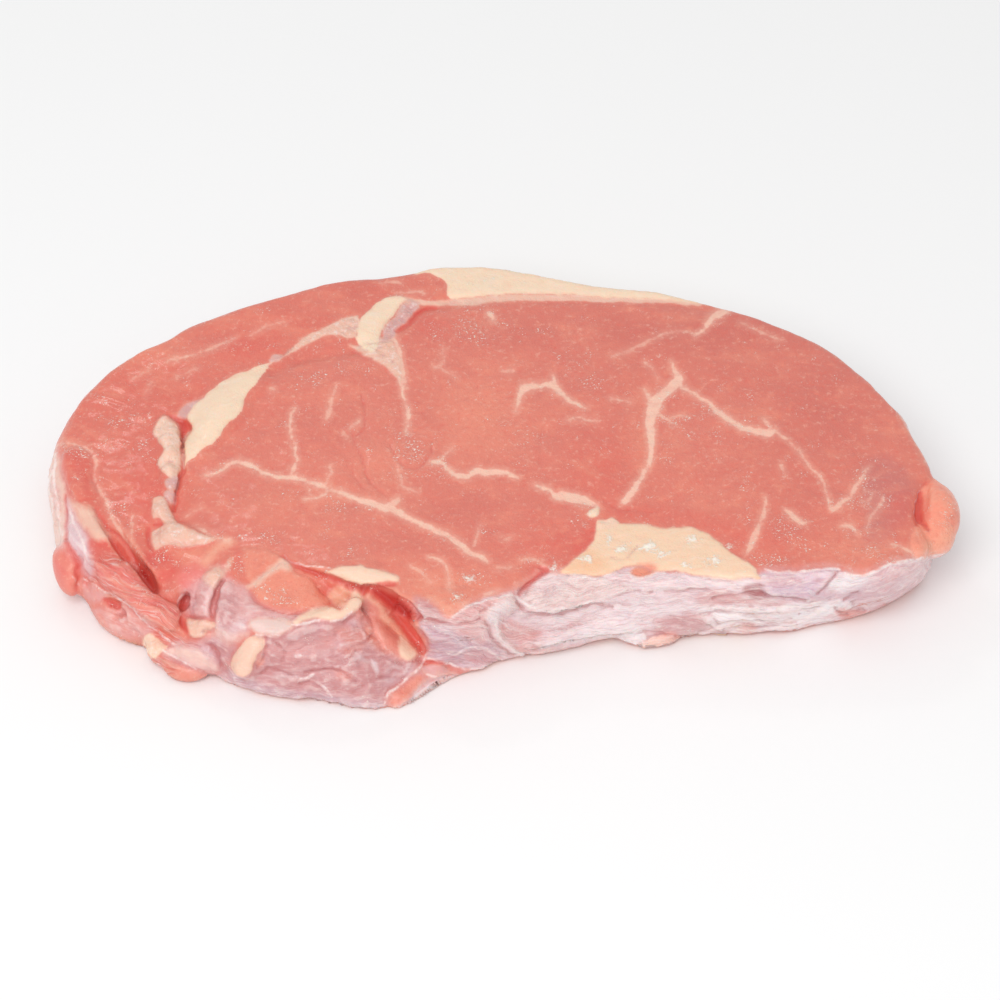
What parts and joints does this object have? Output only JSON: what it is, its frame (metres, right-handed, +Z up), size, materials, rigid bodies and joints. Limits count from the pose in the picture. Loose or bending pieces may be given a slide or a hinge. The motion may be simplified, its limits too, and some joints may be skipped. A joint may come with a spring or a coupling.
{
  "type": "raw veal entrecote",
  "caption": "Raw boneless veal rib steak lying flat, with a loose folded lobe at its left front and a fat edge at its back.",
  "frame": {"origin": "middle of the base, on the surface that the steak lies on", "axes": "+X along the length of the steak towards its right end, +Y towards the fat edge at the back, +Z up out of the upper cut face"},
  "size_m": [0.1789, 0.1088, 0.0206],
  "materials": {
    "raw_meat": "wet raw flesh, satin with small glints"
  },
  "bodies": {
    "root": {"entrecote": "raw_meat"}
  },
  "joints": []
}
